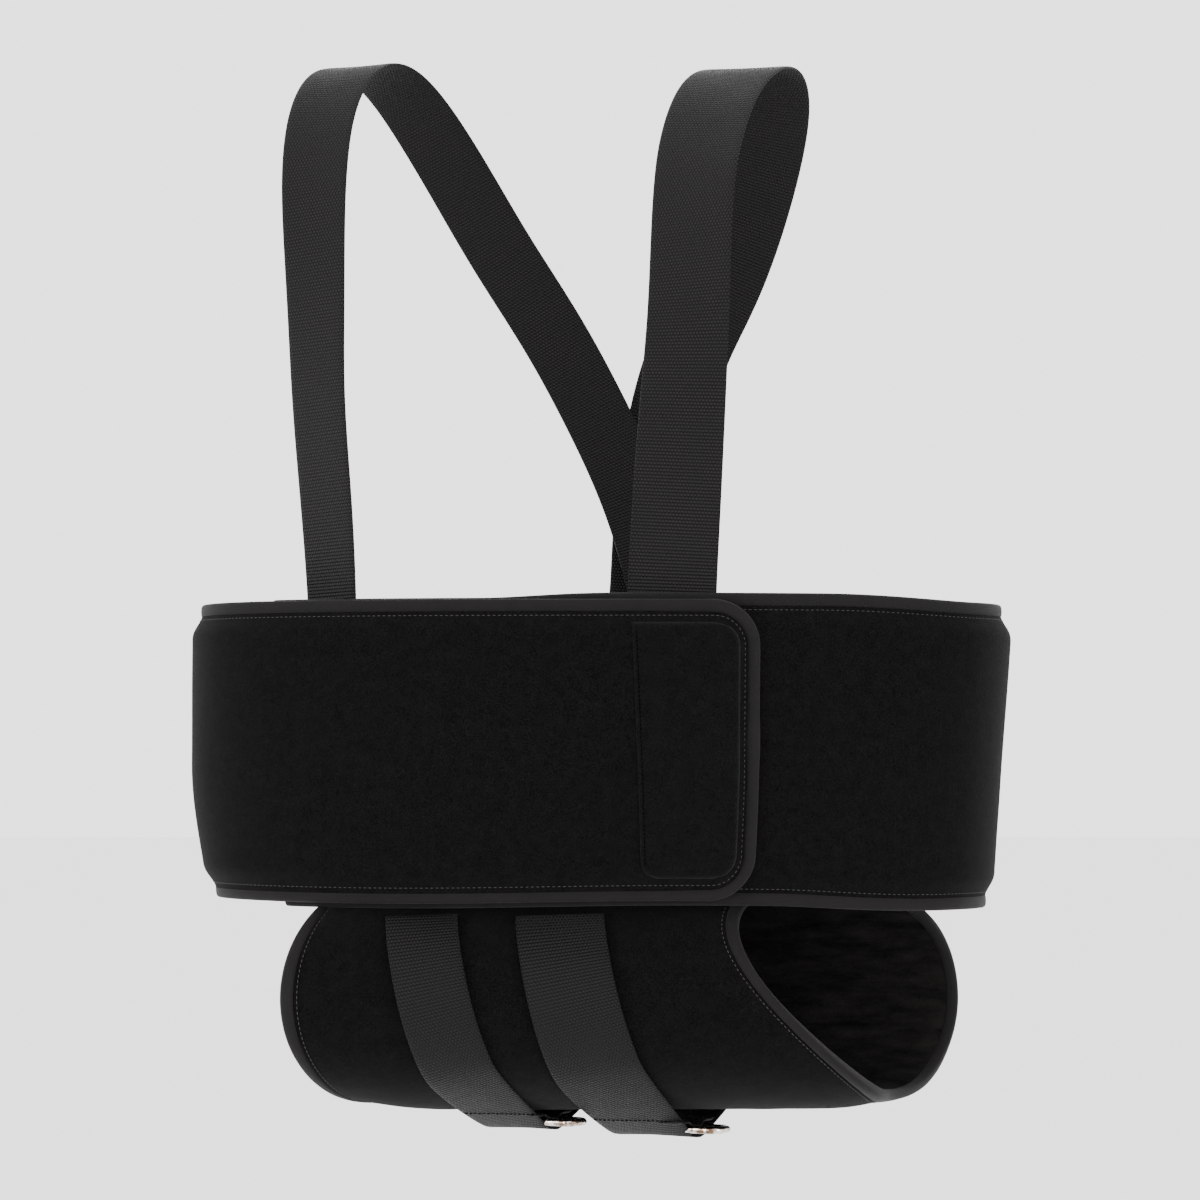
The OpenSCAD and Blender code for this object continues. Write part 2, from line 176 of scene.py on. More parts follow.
def maths(tree, operation, *values):
    made = tree.nodes.new("ShaderNodeMath")
    made.operation = operation
    for i, value in enumerate(values):
        if isinstance(value, (int, float)):
            made.inputs[i].default_value = value
        else:
            tree.links.new(value, made.inputs[i])
    return made.outputs[0]


def ramp(tree, factor, stops):
    made = tree.nodes.new("ShaderNodeValToRGB")
    elements = made.color_ramp.elements
    while len(elements) < len(stops):
        elements.new(0.5)
    for element, (place, colour) in zip(elements, stops):
        element.position = place
        element.color = (*colour, 1)
    tree.links.new(factor, made.inputs[0])
    return made.outputs[0]


def noise_node(tree, vector, scale, detail=3.0, rough=0.6):
    made = node(tree, "ShaderNodeTexNoise", [("Vector", vector)], Scale=scale, Detail=detail, Roughness=rough)
    return made.outputs["Fac"]


def bump(tree, shader, heights):
    """Bumps laid over each other: (height socket, distance in metres, strength)."""
    normal = None
    for height, distance, strength in heights:
        made = node(tree, "ShaderNodeBump", [("Height", height)], Distance=distance, Strength=strength)
        if normal is not None:
            tree.links.new(normal, made.inputs["Normal"])
        normal = made.outputs["Normal"]
    tree.links.new(normal, shader.inputs["Normal"])


def pile_material(name, dark, light, sheen, fibre, lump, rough=0.95, patchy=0.22, stretch=(1, 1, 1)):
    """Velour or plush: short pile, brushed into soft patches."""
    material, tree, shader = new_material(name, dark, rough)
    place = node(tree, "ShaderNodeTexCoord").outputs["Object"]
    fibres = noise_node(tree, place, fibre, 2.0, 0.7)
    drawn = node(tree, "ShaderNodeVectorMath", [(0, place)], operation="MULTIPLY")
    drawn.inputs[1].default_value = stretch
    patches = noise_node(tree, drawn.outputs[0], lump, 4.0, 0.65)
    mixed = maths(tree, "MULTIPLY_ADD", fibres, 1 - patchy, maths(tree, "MULTIPLY", patches, patchy))
    colour = ramp(tree, mixed, [(0.36, dark), (0.64, light)])
    tree.links.new(colour, shader.inputs["Base Color"])
    shader.inputs["Sheen Weight"].default_value = sheen
    shader.inputs["Sheen Roughness"].default_value = 0.45
    shader.inputs["Sheen Tint"].default_value = (0.85, 0.87, 0.92, 1)
    shader.inputs["Specular IOR Level"].default_value = 0.03
    bump(tree, shader, [(patches, 0.0008, 0.2 + patchy * (patchy > 0.5)), (fibres, 0.0005, 0.8)])
    return material


YARN_PITCH = 1.8


def web_material(name, tone):
    """Woven webbing: crosswise ribs of staggered raised yarns, in a map measured in millimetres."""
    material, tree, shader = new_material(name, (0.018, 0.018, 0.02), 0.6)
    split = node(tree, "ShaderNodeSeparateXYZ", [("Vector", node(tree, "ShaderNodeTexCoord").outputs["UV"])])
    across, along = split.outputs["X"], split.outputs["Y"]
    yarn_row = maths(tree, "DIVIDE", along, YARN_PITCH)
    shift = maths(tree, "MULTIPLY", maths(tree, "MODULO", maths(tree, "FLOOR", yarn_row), 2.0), 0.5)
    yarn_column = maths(tree, "ADD", maths(tree, "DIVIDE", across, YARN_PITCH), shift)
    wave_u, wave_v = (maths(tree, "ABSOLUTE", maths(tree, "SINE", maths(tree, "MULTIPLY", v, math.pi)))
                      for v in (yarn_column, yarn_row))
    yarn = maths(tree, "MULTIPLY", maths(tree, "POWER", wave_u, 0.7), maths(tree, "POWER", wave_v, 0.6))
    place = node(tree, "ShaderNodeTexCoord").outputs["Object"]
    fuzz = noise_node(tree, place, 2600.0, 2.0, 0.7)
    wear = noise_node(tree, place, 45.0, 3.0, 0.6)
    shade = maths(tree, "ADD", maths(tree, "MULTIPLY", yarn, maths(tree, "MULTIPLY_ADD", wear, 0.5, 0.55)),
                 maths(tree, "MULTIPLY", fuzz, 0.12))
    # tone scales the whole ramp; the 0.6 copy paints shade
    colour = ramp(tree, shade, [
        (0.1, (0.0002, 0.0002, 0.0002)),
        (0.6, (0.0016 * tone, 0.0014 * tone, 0.0013 * tone)),
        (0.98, (0.0115 * tone, 0.0096 * tone, 0.0092 * tone))])
    tree.links.new(colour, shader.inputs["Base Color"])
    rough = maths(tree, "MULTIPLY_ADD", wear, 0.25, 0.42)
    tree.links.new(rough, shader.inputs["Roughness"])
    shader.inputs["Sheen Weight"].default_value = 0.01
    shader.inputs["Sheen Roughness"].default_value = 0.4
    shader.inputs["Specular IOR Level"].default_value = 0.1
    bump(tree, shader, [(yarn, 0.0006, 0.9), (fuzz, 0.0001, 0.5)])
    return material


RIB_PITCH, TWILL_PITCH = 0.7, 0.9


def tape_material(name, tone):
    """Binding tape: fine lengthwise knit, smoother and a little lighter than the pile."""
    material, tree, shader = new_material(name, tone, 0.7)
    split = node(tree, "ShaderNodeSeparateXYZ", [("Vector", node(tree, "ShaderNodeTexCoord").outputs["UV"])])
    across, along = split.outputs["X"], split.outputs["Y"]
    rib, twill = (maths(tree, "ABSOLUTE", maths(tree, "SINE", maths(tree, "MULTIPLY", v, math.pi / pitch)))
                  for v, pitch in ((across, RIB_PITCH), (maths(tree, "ADD", across, along), TWILL_PITCH)))
    knit = maths(tree, "MULTIPLY", rib, twill)
    place = node(tree, "ShaderNodeTexCoord").outputs["Object"]
    wear = noise_node(tree, place, 60.0, 3.0, 0.6)
    tonal = maths(tree, "ADD", maths(tree, "MULTIPLY", knit, 0.4), maths(tree, "MULTIPLY", wear, 0.6))
    dark, light = tuple(c * 0.55 for c in tone), tuple(c * 1.3 for c in tone)
    colour = ramp(tree, tonal, [(0.15, dark), (0.8, light)])
    tree.links.new(colour, shader.inputs["Base Color"])
    shader.inputs["Sheen Weight"].default_value = 0.03
    shader.inputs["Sheen Roughness"].default_value = 0.4
    shader.inputs["Specular IOR Level"].default_value = 0.1
    bump(tree, shader, [(wear, 0.0006, 0.3), (knit, 0.0003, 0.6)])
    return material


def hook_material(name):
    material, tree, shader = new_material(name, (0.012, 0.012, 0.012), 0.55)
    place = node(tree, "ShaderNodeTexCoord").outputs["Object"]
    cells = node(tree, "ShaderNodeTexVoronoi", [("Vector", place)], Scale=700.0)
    colour = ramp(tree, cells.outputs["Distance"],
                  [(0.05, (0.006, 0.006, 0.006)), (0.5, (0.001, 0.001, 0.001))])
    tree.links.new(colour, shader.inputs["Base Color"])
    bump(tree, shader, [(cells.outputs["Distance"], 0.0012, -0.9)])
    return material


def thread_material(name):
    material, tree, shader = new_material(name, (0.02, 0.018, 0.018), 0.6)
    place = node(tree, "ShaderNodeTexCoord").outputs["Object"]
    strands = noise_node(tree, place, 1800.0, 2.0, 0.5)
    colour = ramp(tree, strands, [(0.3, (0.0004, 0.0004, 0.0004)), (0.7, (0.0021, 0.0019, 0.0019))])
    tree.links.new(colour, shader.inputs["Base Color"])
    bump(tree, shader, [(strands, 0.0003, 0.5)])
    return material


def nickel_material(name):
    material, tree, shader = new_material(name, (0.6, 0.56, 0.5), 0.2)
    shader.inputs["Metallic"].default_value = 1.0
    place = node(tree, "ShaderNodeTexCoord").outputs["Object"]
    smudge_and_reflection = noise_node(tree, place, 240.0, 3.0, 0.6)
    scratch = noise_node(tree, place, 900.0, 2.0, 0.5)
    tree.links.new(maths(tree, "MULTIPLY_ADD", smudge_and_reflection, 0.22, 0.08), shader.inputs["Roughness"])
    # The colour ramp over this noise paints reflections: dark brown and light patches stand in for what the
    # metal mirrors; the same noise also sets the smudged roughness
    colour = ramp(tree, smudge_and_reflection, [(0.4, (0.1, 0.06, 0.04)), (0.5, (0.4, 0.34, 0.3)), (0.6, (0.62, 0.58, 0.54))])
    tree.links.new(colour, shader.inputs["Base Color"])
    bump(tree, shader, [(scratch, 0.0001, 0.15)])
    return material


FIBRE = 1500.0
VELOUR = pile_material("velour", (0.0001, 0.0001, 0.0001), (0.0036, 0.0034, 0.0032), 0.03, FIBRE, 160.0)
TAB_VELOUR = pile_material("tab_velour", (0.0003, 0.0003, 0.0003), (0.0038, 0.0036, 0.0034), 0.03, FIBRE,
                           120.0)
PLUSH = pile_material("plush", (0.00005, 0.00005, 0.00005), (0.0062, 0.0058, 0.0054), 0.008, FIBRE, 60.0,
                      0.8, 0.62, (0.6, 1, 2.4))
WEB = web_material("webbing", 0.95)
# A darker copy of the webbing, at 0.6 of its tone, for the sleeve straps and strap drops: painted shade, as
# they hang lower and away from the lights
SHADED_WEB = web_material("painted_shade_webbing", 0.6)
TAPE = tape_material("binding_tape", (0.0034, 0.0028, 0.0028))
HOOK = hook_material("hook_tape")
THREAD = thread_material("sewing_thread")
# A near-black line material: painted shade, laid as thin dark lines where shade falls at a crease or along a
# layer's edge
SHADE_LINE = pile_material("shade_line", (0.00002, 0.00002, 0.00002), (0.0002, 0.0002, 0.0002), 0.0, FIBRE, 60.0)
NICKEL = nickel_material("nickel")


# ---- The belt's surface ----
def loop_xy(a, off):
    """Points of the loop at angles a in degrees, off outside the middle of the belt."""
    r = np.radians(a)
    deep = np.where(np.sin(r) < 0, FRONT_D, BACK_D)
    return np.stack([(LOOP_W / 2 - BELT_T / 2 + off) * power(np.cos(r), 2 / ROUND),
                     (deep - BELT_T / 2 + off) * power(np.sin(r), 2 / ROUND)], axis=-1)


def belt_pt(a, off, z):
    """A point of the worn belt: it draws in towards its lower edge, more at +X, where it also sags."""
    a, off, z = np.broadcast_arrays(np.asarray(a, float), off, z)
    xy = loop_xy(a, off)
    low = ease((-z - 5) / (HALF_H + 15)) * 0.045
    taper = np.clip((60 - z) / 120, 0, 1) * 0.042
    right = ease((xy[..., 0] - 20) / 150)
    drawn = low + (np.maximum(taper, low * 0.9) - low) * right
    x = xy[..., 0] * (1 - drawn)
    y = xy[..., 1] * (1 - low * 0.6)
    sag = 4.0 * ease((xy[..., 0] - 90) / 110) * ease((20 - z) / 90)
    wave = 0.9 * np.sin((xy[..., 0] + 40) / 52) * ease((-z - 30) / 50)
    return np.stack([x, y, z - sag + wave], axis=-1)


def lap_offset(a):
    return -LAP_IN * (1 - ease((a - LAP_FROM_A) / (LAP_TO_A - LAP_FROM_A)))


def even_angles(a0, a1, step):
    """Loop angles from a0 to a1 in even steps of length."""
    a = np.linspace(a0, a1, 2000)
    s = np.concatenate([[0], np.cumsum(np.linalg.norm(np.diff(loop_xy(a, 0), axis=0), axis=1))])
    count = max(2, int(round(s[-1] / step)))
    return np.interp(np.linspace(0, s[-1], count + 1), s, a)


SURFACE_STEP = 4.0


class Surface:
    """A stretch of the belt, mapped by s along it, z up and off outwards, all in millimetres."""

    def __init__(self, a0, a1, lapped):
        self.a = even_angles(a0, a1, SURFACE_STEP)
        self.lapped = lapped
        steps = np.linalg.norm(np.diff(loop_xy(self.a, 0), axis=0), axis=1)
        self.s = np.concatenate([[0], np.cumsum(steps)])
        self.length = self.s[-1]

    def angle(self, s):
        return np.interp(s, self.s, self.a)

    def at(self, s, z, off):
        """Points of the belt, the inner lap lying inside the loop and a little taller."""
        a = self.angle(s)
        if self.lapped:
            inside = lap_offset(a)
            taller = np.where(z > 0, 0.01 + 0.034 * ease((a - 256) / 16), 0.026)
            return belt_pt(a, off + inside, z * (1 + taller * -inside / LAP_IN))
        return belt_pt(a, off, z)

    def out(self, s, z):
        return unit(self.at(s, z, 1.0) - self.at(s, z, 0.0))


# The foam is fullest inside the binding and squeezed thin under it
FOAM_MID, FOAM_EDGE = 7.0, 3.6
SKIN_OFF = -1.0


def foam_mid(d):
    """The middle of the foam at distance d from its nearest edge."""
    return SKIN_OFF - 3.8 * ease((19 - d) / 14)


def foam_half(d, full):
    return 0.5 * (FOAM_EDGE + (full - FOAM_EDGE) * ease((d - 5) / 11))


def foam_rings(surface, s_of, z_rows, d_of, full, steps):
    """Rings of a foam strip: down its outer face and up its inner one, at each step along it."""
    rings = []
    for q in steps:
        s = s_of(q, z_rows)
        d = d_of(s, z_rows)
        mid, half = foam_mid(d), foam_half(d, full)
        outer = surface.at(s, z_rows, mid + half)
        swell = 0.5 * lumps(outer, 42.0) * ease((d - 6) / 20)
        outer = surface.at(s, z_rows, mid + half + swell)
        inner = surface.at(s, z_rows, mid - half)
        rings.append(np.concatenate([outer, inner[::-1]]))
    return np.array(rings)


BIND_MID = HALF_H - 3.6
Z_ROWS = np.concatenate([
    np.linspace(HALF_H - 3, HALF_H - 34, 18, endpoint=False),
    np.linspace(HALF_H - 34, -HALF_H + 34, 16, endpoint=False),
    np.linspace(-HALF_H + 34, -HALF_H + 3, 19)])
SPLIT_A = 140.0

band = Surface(LAP_END_A, SPLIT_A + 360, True)
front = Surface(SPLIT_A, FLAP_END_A, False)

# ---- The flap's outline, along s to its round end ----
CORNER_R = 25.0


def round_end(z):
    """Where a row at height z ends, round the end's corners."""
    over = np.clip(np.abs(z) - (HALF_H - CORNER_R), 0, CORNER_R)
    return front.length - CORNER_R + np.sqrt(np.maximum(CORNER_R * CORNER_R - over * over, 0))


def flap_s(q, z):
    straight = q * front.length
    near = ease((straight - (front.length - 90)) / 90)
    return straight - (front.length - round_end(z)) * near * (straight > 0) - 3.0 * near


def flap_d(s, z):
    """Distance from the flap's edge, round the corners too."""
    r = CORNER_R
    ds, dz = s - (front.length - r), np.abs(z) - (HALF_H - r)
    corner = r - np.hypot(np.maximum(ds, 0), np.maximum(dz, 0))
    straight = np.minimum(front.length - s, HALF_H - np.abs(z))
    return np.where((ds > 0) & (dz > 0), corner, straight)


def band_d(s, z):
    return np.minimum(HALF_H - np.abs(z), s + 1.0)


def dress(piece, body, slot, *nodes, fill=None, across=None):
    """What every piece is given: its body, or for one lying across a joint its placement baked in; the model
    parts it stands for are hidden. The slot is not used.
    """
    if across is None:
        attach(piece, body)
    else:
        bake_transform(piece)
    if nodes:
        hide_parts(*nodes)
    return piece


HINGE_XY = loop_xy(HINGE_A, 0)
HINGE_DIR = unit(loop_xy(HINGE_A + 1, 0) - loop_xy(HINGE_A - 1, 0))
FLAP_FOLD = ("belt", "flap", tuple(np.append(HINGE_XY - 10 * HINGE_DIR, 0) * MM),
             tuple(np.append(HINGE_XY + 10 * HINGE_DIR, 0) * MM))


# ---- Binding tape: a flattened tube along an edge ----
SECTION = np.radians(np.arange(0, 360, 22.5))


TAPE_HALF_W, TAPE_HALF_T = 3.7, 2.5


def tape_rings(surface, path, inward, off, fat=None):
    """Rings round an edge path of (s, z) points; inward points into the panel."""
    rings = []
    for i, ((s, z), (ds, dz)) in enumerate(zip(path, inward)):
        k = 1.0 if fat is None else fat[i]
        u = TAPE_HALF_W * k * power(np.cos(SECTION), 0.6)
        v = TAPE_HALF_T * k * power(np.sin(SECTION), 0.75)
        rings.append(surface.at(s + ds * u, z + dz * u, off[i] + v))
    return np.array(rings)


def tape_piece(name, surface, path, inward, off, fat=None):
    rings = tape_rings(surface, path, inward, off, fat)
    around = np.vstack([rings.transpose(1, 0, 2), rings.transpose(1, 0, 2)[:1]]).transpose(1, 0, 2)
    return swept(name, rings, TAPE, uv=ring_lengths(around)[:, :-1])


# ---- Stitches: short threads laid end to end along a line ----
STITCH_SINK = 0.12


def stitch_line(name, path, out, body, pitch=2.8, length=2.0, radius=0.22, slot="tape", across=None,
                material=None):
    path, out = np.asarray(path), np.asarray(out)
    s = np.concatenate([[0], np.cumsum(np.linalg.norm(np.diff(path, axis=0), axis=1))])
    centres = np.arange(pitch / 2, s[-1], pitch)
    # Each thread's profile: place along it, thickness and lift, its ends diving into the cloth
    profile = [(-0.5, 0.25, -0.6), (-0.3, 0.85, 0.1), (0.0, 1.0, 0.35), (0.3, 0.85, 0.1), (0.5, 0.25, -0.6)]
    turns = np.radians(np.arange(0, 360, 60))
    verts, faces = [], []
    for c in centres:
        def point(at):
            return np.array([np.interp(at, s, path[:, k]) for k in range(3)])
        normal = unit(np.array([np.interp(c, s, out[:, k]) for k in range(3)]))
        along = unit(point(c + 0.5) - point(c - 0.5))
        side = np.cross(along, normal)
        base = len(verts)
        for where, swell, lift in profile:
            centre = point(c + where * length) + normal * (lift * radius - STITCH_SINK)
            for t in turns:
                verts.append(centre + radius * swell * (math.cos(t) * side + math.sin(t) * normal))
        faces += tube_faces(len(profile), len(turns), False, base)
    piece = mesh_piece(name, verts, faces, material or THREAD)
    return dress(piece, body, slot, across=across)


def on_panel(surface, s, z, d, full, lift=0.0):
    """The outer face of the foam at (s, z), at distance d from its edge."""
    return surface.at(s, z, foam_mid(d) + foam_half(d, full) + lift)


# ---- Belt panel, flap and their tapes ----
def make_belt():
    steps = np.linspace(0, 1, int(band.length / 5))
    lap_full = 6.0
    full_of = lambda s: FOAM_MID - (FOAM_MID - lap_full) * -lap_offset(band.angle(s)) / LAP_IN

    def band_s(q, z):
        return np.full_like(z, 3.0 + q * (band.length - 3.0))
    rings = []
    for q in steps:
        full = full_of(3.0 + q * (band.length - 3.0))
        rings.append(foam_rings(band, band_s, Z_ROWS, band_d, full, [q])[0])
    panel = swept("belt_cover", rings, VELOUR)
    dress(panel, "belt", "velour", "belt_panel", fill=0.35)

    s = np.linspace(0, band.length, int(band.length / 4))
    edge_off = foam_mid(4.0)
    for side, cad_node in ((1, "belt_top_binding"), (-1, "belt_bottom_binding")):
        path = np.stack([s, np.full_like(s, side * BIND_MID)], axis=1)
        inward = np.tile([0, -side], (len(s), 1))
        tape = tape_piece(cad_node + "_tape", band, path, inward, np.full_like(s, edge_off))
        dress(tape, "belt", "tape", cad_node)
        line = s[1:-1]
        z = np.full_like(line, side * (HALF_H - 8.6))
        where = on_panel(band, line, z, np.full_like(line, 8.6), FOAM_MID)
        stitch_line(cad_node + "_stitches", where, band.out(line, z), "belt")
    z = np.linspace(HALF_H - 7, -HALF_H + 7, 40)
    path = np.stack([np.full_like(z, BIND_W / 2), z], axis=1)
    tape = tape_piece("belt_end_tape", band, path, np.tile([1, 0], (len(z), 1)),
                      np.full_like(z, edge_off + 0.3))
    dress(tape, "belt", "tape", "belt_end_binding")


OUTLINE_STEP = 3.0


def flap_outline(inset):
    """(s, z) points from the split along the top, round the end and back, with inward directions."""
    r = CORNER_R - inset
    run = front.length - CORNER_R
    top = HALF_H - inset
    count = int(run / OUTLINE_STEP)
    pts = [(s, top) for s in np.linspace(0, run, count)]
    inward = [(0, -1)] * count
    arc = np.radians(np.linspace(90, 0, 14))[1:]
    pts += [(run + r * math.cos(t), top - r + r * math.sin(t)) for t in arc]
    inward += [(-math.cos(t), -math.sin(t)) for t in arc]
    down = np.linspace(top - r, -top + r, int(2 * (top - r) / OUTLINE_STEP))[1:]
    pts += [(run + r, z) for z in down]
    inward += [(-1, 0)] * len(down)
    arc = np.radians(np.linspace(0, -90, 14))[1:]
    pts += [(run + r * math.cos(t), -top + r + r * math.sin(t)) for t in arc]
    inward += [(-math.cos(t), -math.sin(t)) for t in arc]
    pts += [(s, -top) for s in np.linspace(run, 0, count)[1:]]
    inward += [(0, 1)] * (count - 1)
    return np.array(pts), np.array(inward, float)


# The tape's two ends are joined at this height, where it is thicker
JOIN_Z, JOIN_LONG = 4.0, 9.0


def make_flap():
    steps = np.linspace(0, 1, int(front.length / 3.5))
    rings = foam_rings(front, flap_s, Z_ROWS, flap_d, FOAM_MID, steps)
    cover = swept("flap_cover", rings, VELOUR)
    dress(cover, "flap", "velour", "flap_panel", fill=0.35, across=FLAP_FOLD)

    path, inward = flap_outline(3.7)
    end = path[:, 0] > front.length - CORNER_R
    join = ease(1.6 - np.abs(path[:, 1] - JOIN_Z) / JOIN_LONG)
    fat = 1 + 0.16 * end * join - 0.13 * ease((-path[:, 1] - 60) / 12)
    off = np.full(len(path), foam_mid(4.0)) + 0.6 * ease((path[:, 0] - front.length + 60) / 60)
    tape = tape_piece("flap_tape", front, path, inward, off, fat)
    dress(tape, "flap", "tape", "flap_binding", across=FLAP_FOLD)

    line, _ = flap_outline(8.8)
    s, z = line[:, 0], line[:, 1]
    d = flap_d(s, z)
    where = on_panel(front, s, z, d, FOAM_MID, 0.1)
    stitch_line("flap_stitches", where, front.out(s, z), "flap", across=FLAP_FOLD)


def slab_piece(name, top, bottom, material):
    """A closed sheet between two grids of points of one size."""
    n, m = top.shape[:2]
    verts = np.concatenate([top.reshape(-1, 3), bottom.reshape(-1, 3)])
    ids = np.arange(n * m).reshape(n, m)
    faces = []
    for i in range(n - 1):
        for j in range(m - 1):
            a, b, c, d = ids[i, j], ids[i, j + 1], ids[i + 1, j + 1], ids[i + 1, j]
            faces += [(a, d, c, b), (a + n * m, b + n * m, c + n * m, d + n * m)]
    rim = list(ids[0]) + list(ids[1:, -1]) + list(ids[-1, -2::-1]) + list(ids[-2:0:-1, 0])
    k = len(rim)
    faces += [(rim[i], rim[(i + 1) % k], rim[(i + 1) % k] + n * m, rim[i] + n * m) for i in range(k)]
    return mesh_piece(name, verts, [tuple(int(v) for v in f) for f in faces], material)


TAB_INSET = 12.3


def make_tab():
    """The end patch sewn on the flap, with a leaning left edge and a round lower left corner."""
    rows = np.linspace(HALF_H - TAB_INSET, -HALF_H + TAB_INSET, 60)
    left_top, left_low, corner = 70.0, 63.5, 9.0
    lean = left_low + (left_top - left_low) * (rows + HALF_H) / BELT_H
    low = np.clip(-HALF_H + TAB_INSET + corner - rows, 0, corner)
    left = front.length - lean + corner - np.sqrt(corner * corner - low * low)
    right = front.length - CORNER_R + np.sqrt(np.maximum(
        (CORNER_R - TAB_INSET) ** 2 - np.clip(np.abs(rows) - (HALF_H - CORNER_R), 0, None) ** 2, 0))
    u = np.linspace(0, 1, 26)
    s = left[:, None] + (right - left)[:, None] * u[None, :]
    z = np.broadcast_to(rows[:, None], s.shape)
    base = foam_mid(flap_d(s, z)) + foam_half(flap_d(s, z), FOAM_MID)
    edge = np.minimum(np.minimum(s - left[:, None], right[:, None] - s), HALF_H - TAB_INSET - np.abs(z))
    lift = 0.5 + 0.9 * ease(edge / 2.5)
    top = front.at(s, z, base + lift)
    swell = 0.35 * lumps(top, 30.0, 3.0) * ease(edge / 12)
    top = front.at(s, z, base + lift + swell)
    patch = slab_piece("flap_tab_patch", top, front.at(s, z, base - 1.2), TAB_VELOUR)
    dress(patch, "flap", "velour", "flap_tab")
    # A near-black painted shade line along the patch's left edge, where shade falls at the edge of the raised
    # layer; drawn as short threads, not real stitching
    sides = np.stack([left + 2.2, rows], axis=1)[2:-3]
    at = front.at(sides[:, 0], sides[:, 1], np.interp(sides[:, 1], rows[::-1], base[::-1, 1]) + 1.35)
    stitch_line("flap_tab_shade_line", at, front.out(sides[:, 0], sides[:, 1]), "flap", pitch=2.2, length=2.4,
                radius=0.3, material=SHADE_LINE)

    rows = np.linspace(HALF_H - 18, -HALF_H + 18, 30)
    s = np.broadcast_to(np.linspace(front.length - 70, front.length - 14, 14)[None, :], (30, 14))
    z = np.broadcast_to(rows[:, None], s.shape)
    d = flap_d(s, z)
    inner = foam_mid(d) - foam_half(d, FOAM_MID)
    hooks = slab_piece("flap_hooks", front.at(s, z, inner + 0.4), front.at(s, z, inner - HOOK_T), HOOK)
    dress(hooks, "flap", "hook", "flap_hook_patch")


# ---- Webbing ----
def unit_frames(path, facing):
    along = unit(np.gradient(path, axis=0))
    across = unit(np.cross(along, facing))
    return along, across, np.cross(across, along)


WEB_ROWS = np.concatenate([[-1, -0.985, -0.95], np.linspace(-0.85, 0.85, 9), [0.95, 0.985, 1]])


def web_strip(name, path, facing, width, thick=WEB_T, material=None):
    """Webbing of the given width along a path, its selvedges rounded."""
    _, across, out = unit_frames(path, facing)
    c = WEB_ROWS
    half = thick / 2 * np.sqrt(np.maximum(1 - np.abs(c) ** 14, 0.02))
    flat_top = c * width / 2
    ring = [(flat_top[k], half[k]) for k in range(len(c))]
    ring += [(flat_top[k], -half[k]) for k in range(len(c) - 2, 0, -1)]
    ring = np.array(ring)
    rings = path[:, None, :] + ring[None, :, :1] * across[:, None, :] + ring[None, :, 1:] * out[:, None, :]
    along = np.concatenate([[0], np.cumsum(np.linalg.norm(np.diff(path, axis=0), axis=1))])
    uv = np.stack(np.broadcast_arrays(ring[None, :, 0] + width, along[:, None] + 1000), axis=-1)
    return swept(name, rings, material or WEB, uv=uv)


# The shoulder straps' middle lines and facings, as in the design but with their rear ends joined on
LEFT_PATH = [[-143.4, -64.6, 58.3], [-144.1, -64.6, 85], [-147, -65, 133], [-152, -65, 186],
             [-152.6, -64, 226], [-154.4, -60, 273], [-155.6, -50, 312], [-153.5, -32, 347], [-146, -10, 371],
             [-134, 14, 383], [-117, 42, 378], [-96, 63, 350], [-74, 80, 314], [-54, 93, 280],
             [-26, 107, 240], [-1, 118, 192], [13, 123, 163], [26, 128, 129], [34, 132, 96],
             [39, 132.6, 74], [46, 131.6, 50], [54, 131.2, 26], [56.5, 131, 17], [59, 130.6, 8],
             [70, 129.6, -35]]
LEFT_FACING = [[-0.7, -0.71, 0], [-0.69, -0.72, 0], [-0.64, -0.77, 0], [-0.64, -0.77, 0],
               [-0.56, -0.83, 0], [-0.45, -0.89, 0], [-0.28, -0.95, 0.1], [-0.18, -0.86, 0.4],
               [-0.1, -0.55, 0.8], [0, 0, 1], [0, 0.5, 0.85], [0, 0.8, 0.6], [0, 0.92, 0.4],
               [0, 0.95, 0.3], [0, 0.98, 0.2], [0, 1, 0.2], [0, 1, 0.15], [0, 1, 0.1], [0, 1, 0.05],
               [0.03, 1, 0], [0.05, 1, 0], [0.08, 1, 0], [0.08, 1, 0], [0.09, 1, 0], [0.1, 1, 0]]
RIGHT_PATH = [[37, -89, 58.3], [37, -89, 84], [39.5, -89, 126], [41.5, -89, 163], [44.7, -86, 210],
              [46.6, -82, 240], [48, -72, 284], [50.6, -60, 313], [54, -48, 332], [61, -30, 356],
              [71.5, -6, 374], [84.5, 14, 381], [94, 38, 375], [95, 56, 356], [87.5, 80, 322],
              [77, 95, 289], [65, 106, 260], [49.5, 115, 232], [38.5, 125, 193], [30, 133, 142],
              [29, 137.4, 92], [26, 137.2, 78], [20, 137, 64], [14, 136.6, 52],
              [7, 135.8, 36], [3, 134.6, 24], [0, 133.7, 12], [-8, 133.2, -24]]
RIGHT_FACING = [[0, -1, 0], [0, -1, 0], [-0.1, -1, 0], [-0.2, -0.98, 0], [-0.35, -0.93, 0],
                [-0.4, -0.91, 0], [-0.4, -0.9, 0.1], [-0.35, -0.9, 0.25], [-0.25, -0.85, 0.4],
                [-0.15, -0.7, 0.7], [-0.05, -0.4, 0.9], [0, 0, 1], [0.1, 0.5, 0.85], [0.2, 0.8, 0.55],
                [0.2, 0.9, 0.35], [0.15, 0.93, 0.3], [0.1, 0.95, 0.25], [0.05, 0.97, 0.2],
                [0, 1, 0.2], [0, 1, 0.1], [0, 1, 0.05], [0, 1, 0], [0, 1, -0.05], [0, 1, -0.08],
                [0, 1, -0.08], [0, 1, -0.04], [0, 1, 0], [0, 1, 0]]
# Steps between two points of a shoulder strap's path
STEPS = 10


